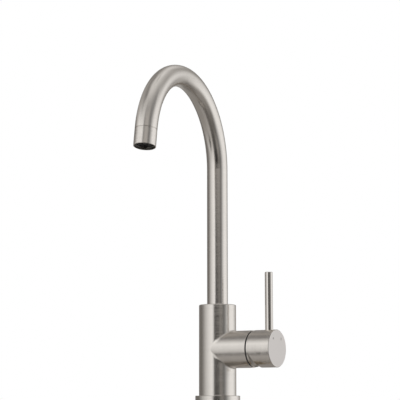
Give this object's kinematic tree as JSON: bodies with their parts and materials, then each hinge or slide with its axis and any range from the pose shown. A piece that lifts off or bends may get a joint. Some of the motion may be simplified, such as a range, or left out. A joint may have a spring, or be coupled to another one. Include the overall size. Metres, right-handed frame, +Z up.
{
  "type": "gooseneck bar faucet",
  "caption": "Deck-mounted gooseneck bar faucet: upright barrel with a side port, a cap with an upright pin lever that lifts and turns, and a swivelling arched spout with an aerator.",
  "frame": {"origin": "centre of the base ring's underside, on the deck plane, on the barrel's axis", "axes": "+Z up along the barrel, +X along the handle's side port, the spout reaches towards -Y"},
  "size_m": [0.1003, 0.2067, 0.3972],
  "materials": {
    "brushed_metal": "brushed",
    "screw_steel": "machined",
    "brass": "machined",
    "rubber": "matte",
    "white_plastic": "matte",
    "blue_plastic": "matte",
    "black_plastic": "satin",
    "ceramic": "polished"
  },
  "bodies": {
    "faucet_body": {"tap_body": "brushed_metal", "base_ring": "brushed_metal", "base_seal": "rubber", "mounting_shank": "brass", "deck_gasket": "rubber", "deck_washer": "screw_steel", "shank_nut": "brass", "clamp_screws": "screw_steel", "spout_lock_screw": "screw_steel", "glide_ring": "white_plastic", "thrust_washer": "white_plastic", "cartridge_base": "white_plastic", "cartridge_seals": "rubber", "fixed_disc": "ceramic", "cartridge_housing": "blue_plastic", "cartridge_nut": "brass", "bonnet": "brushed_metal", "bonnet_seal": "rubber"},
    "turret_body": {"turret": "white_plastic", "spindle_pin": "screw_steel"},
    "disc_body": {"disc_carrier": "blue_plastic", "moving_disc": "ceramic"},
    "lever_body": {"spindle": "screw_steel", "handle_cap": "brushed_metal", "handle_grub_screw": "screw_steel", "pin_lever": "brushed_metal"},
    "spout_body": {"spout_tube": "brushed_metal", "spout_bush": "brass", "spout_o_rings": "rubber", "aerator_collar": "brushed_metal", "aerator_washer": "rubber", "flow_regulator": "blue_plastic", "aerator_screen": "screw_steel", "aerator_insert": "black_plastic"}
  },
  "joints": [
    {"name": "handle_turn", "type": "hinge", "parent": "faucet_body", "child": "turret_body", "pos_m": [0.0365, 0, 0.0547], "axis": [1, 0, 0], "range_deg": [-50, 50]},
    {"name": "handle_lift", "type": "hinge", "parent": "turret_body", "child": "lever_body", "pos_m": [0.0365, 0, 0.0547], "axis": [0, 1, 0], "range_deg": [0, 25]},
    {"name": "disc_slide", "type": "slide", "parent": "turret_body", "child": "disc_body", "axis": [0, 0, 1], "range_m": [0, 0.00355]},
    {"name": "spout_swivel", "type": "hinge", "parent": "faucet_body", "child": "spout_body", "pos_m": [0, 0, 0.09], "axis": [0, 0, 1], "continuous": true}
  ],
  "couplings": [
    {"joint": "disc_slide", "follows": "handle_lift", "m_per_rad": 0.00804}
  ]
}
